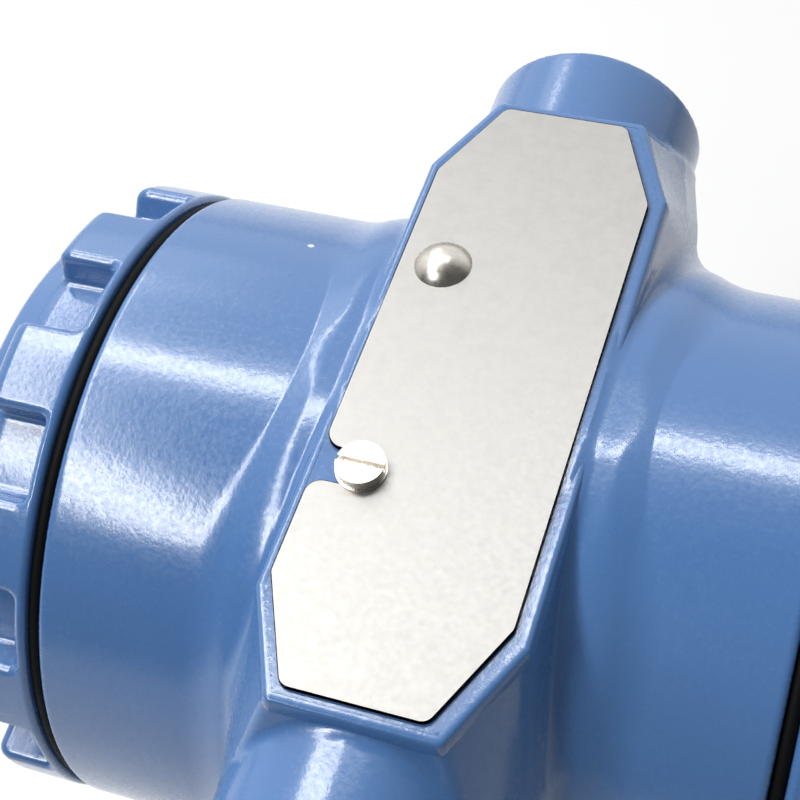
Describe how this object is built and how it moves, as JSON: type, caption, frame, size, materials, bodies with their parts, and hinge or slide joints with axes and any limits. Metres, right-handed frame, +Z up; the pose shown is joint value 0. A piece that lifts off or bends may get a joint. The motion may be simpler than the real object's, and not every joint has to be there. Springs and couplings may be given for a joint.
{
  "type": "differential pressure transmitter",
  "caption": "Differential pressure transmitter: painted two-compartment housing with notched screw covers and a swinging nameplate, on a flanged sensor module.",
  "frame": {"origin": "centre of the process flange's bottom face", "axes": "+Z up along the neck, X along the axis of the two screw covers with -X towards the terminal compartment, Y along the conduit entries"},
  "size_m": [0.118, 0.1076, 0.1832],
  "materials": {
    "stainless_casting": "machined and cast stainless steel, satin",
    "stainless": "turned stainless steel",
    "module_steel": "bead-blasted stainless steel",
    "plated_steel": "zinc-plated steel",
    "black_rubber": "matte",
    "standoff_brass": "turned brass",
    "circuit_board": "varnished board",
    "header_alloy": "satin",
    "blue_paint": "cast aluminium under gloss blue paint with light orange peel",
    "small_screws": "bright nickel",
    "spring_steel": "drawn wire",
    "button_plastic": "moulded",
    "terminal_plastic": "moulded, fine grain",
    "ribbon_plastic": "smooth",
    "plate_steel": "fine satin stainless sheet"
  },
  "bodies": {
    "process_body": {"process_flange": "stainless_casting", "flange_bolt_1": "plated_steel", "flange_bolt_2": "plated_steel", "flange_bolt_3": "plated_steel", "flange_bolt_4": "plated_steel", "process_o_ring_1": "black_rubber", "process_o_ring_2": "black_rubber", "vent_seat_1": "stainless", "vent_seat_2": "stainless", "alignment_screw": "stainless", "sensor_module": "module_steel", "isolating_diaphragm_1": "stainless", "isolating_diaphragm_2": "stainless", "fill_tube_1": "stainless", "fill_tube_2": "stainless", "sensor_cell": "stainless", "board_standoff_1": "standoff_brass", "board_standoff_2": "standoff_brass", "board_standoff_3": "standoff_brass", "sensor_board": "circuit_board", "sensor_header": "header_alloy", "neck_o_ring": "black_rubber"},
    "housing": {"housing": "blue_paint", "rotation_set_screw": "small_screws", "ground_screw": "small_screws", "ground_clamp": "small_screws", "pivot_screw": "small_screws", "zero_spring": "spring_steel", "span_spring": "spring_steel", "terminal_block": "terminal_plastic", "terminal_screw_1": "small_screws", "terminal_screw_2": "small_screws", "terminal_screw_3": "small_screws", "block_screw_1": "small_screws", "block_screw_2": "small_screws", "board_spacer_1": "standoff_brass", "board_spacer_2": "standoff_brass", "board_spacer_3": "standoff_brass", "stack_screw_1": "small_screws", "stack_screw_2": "small_screws", "stack_screw_3": "small_screws", "electronics_board": "circuit_board", "electronics_shroud": "terminal_plastic", "ribbon_connector": "terminal_plastic", "ribbon_cable": "ribbon_plastic"},
    "nameplate": {"nameplate": "plate_steel"},
    "lock_washer": {"lock_washer": "small_screws"},
    "lock_screw": {"lock_screw": "small_screws"},
    "zero_button": {"zero_button": "button_plastic"},
    "span_button": {"span_button": "button_plastic"},
    "terminal_cover_ring": {"terminal_cover_ring": "black_rubber"},
    "terminal_cover": {"terminal_cover": "blue_paint"},
    "circuit_cover_ring": {"circuit_cover_ring": "black_rubber"},
    "circuit_cover": {"circuit_cover": "blue_paint"},
    "vent_ball_1": {"vent_ball_1": "stainless"},
    "vent_ball_2": {"vent_ball_2": "stainless"},
    "vent_stem_1": {"vent_stem_1": "stainless"},
    "vent_stem_2": {"vent_stem_2": "stainless"}
  },
  "joints": [
    {"name": "housing_turn", "type": "hinge", "parent": "process_body", "child": "housing", "pos_m": [0, 0, 0.096], "axis": [0, 0, 1], "range_deg": [-180, 180]},
    {"name": "nameplate_swing", "type": "hinge", "parent": "housing", "child": "nameplate", "pos_m": [-0.0075, 0.0138, 0.18122], "axis": [0, 0, 1], "range_deg": [0, 92]},
    {"name": "lock_washer_lift", "type": "slide", "parent": "housing", "child": "lock_washer", "axis": [0, 0, 1], "range_m": [0, 0.0015]},
    {"name": "lock_screw_turn", "type": "hinge", "parent": "lock_washer", "child": "lock_screw", "pos_m": [-0.0075, -0.0142, 0.18184], "axis": [0, 0, 1], "range_deg": [0, 1081]},
    {"name": "zero_press", "type": "slide", "parent": "housing", "child": "zero_button", "axis": [0, 0, -1], "range_m": [0, 0.0015], "stiffness_N_per_m": 400, "springref_m": -0.001, "deforming": ["zero_spring"]},
    {"name": "span_press", "type": "slide", "parent": "housing", "child": "span_button", "axis": [0, 0, -1], "range_m": [0, 0.0015], "stiffness_N_per_m": 400, "springref_m": -0.001, "deforming": ["span_spring"]},
    {"name": "terminal_cover_travel", "type": "slide", "parent": "housing", "child": "terminal_cover_ring", "axis": [-1, 0, 0], "range_m": [0, 0.00801]},
    {"name": "terminal_cover_turn", "type": "hinge", "parent": "terminal_cover_ring", "child": "terminal_cover", "pos_m": [-0.0475, 0, 0.141], "axis": [-1, 0, 0], "range_deg": [0, 1800]},
    {"name": "circuit_cover_travel", "type": "slide", "parent": "housing", "child": "circuit_cover_ring", "axis": [1, 0, 0], "range_m": [0, 0.00801]},
    {"name": "circuit_cover_turn", "type": "hinge", "parent": "circuit_cover_ring", "child": "circuit_cover", "pos_m": [0.0437, 0, 0.141], "axis": [1, 0, 0], "range_deg": [0, 1800]},
    {"name": "vent_1_travel", "type": "slide", "parent": "process_body", "child": "vent_ball_1", "axis": [0, -1, 0], "range_m": [0, 0.0024]},
    {"name": "vent_1_turn", "type": "hinge", "parent": "vent_ball_1", "child": "vent_stem_1", "pos_m": [0, -0.0385, 0.0245], "axis": [0, -1, 0], "range_deg": [0, 1081]},
    {"name": "vent_2_travel", "type": "slide", "parent": "process_body", "child": "vent_ball_2", "axis": [0, 1, 0], "range_m": [0, 0.0024]},
    {"name": "vent_2_turn", "type": "hinge", "parent": "vent_ball_2", "child": "vent_stem_2", "pos_m": [0, 0.0385, 0.0245], "axis": [0, 1, 0], "range_deg": [0, 1081]}
  ],
  "couplings": [
    {"joint": "lock_screw_turn", "follows": "lock_washer_lift", "rad_per_m": 12566},
    {"joint": "terminal_cover_travel", "follows": "terminal_cover_turn", "m_per_rad": 0.00025465},
    {"joint": "circuit_cover_travel", "follows": "circuit_cover_turn", "m_per_rad": 0.00025465},
    {"joint": "vent_1_turn", "follows": "vent_1_travel", "rad_per_m": 7854},
    {"joint": "vent_2_turn", "follows": "vent_2_travel", "rad_per_m": 7854}
  ]
}
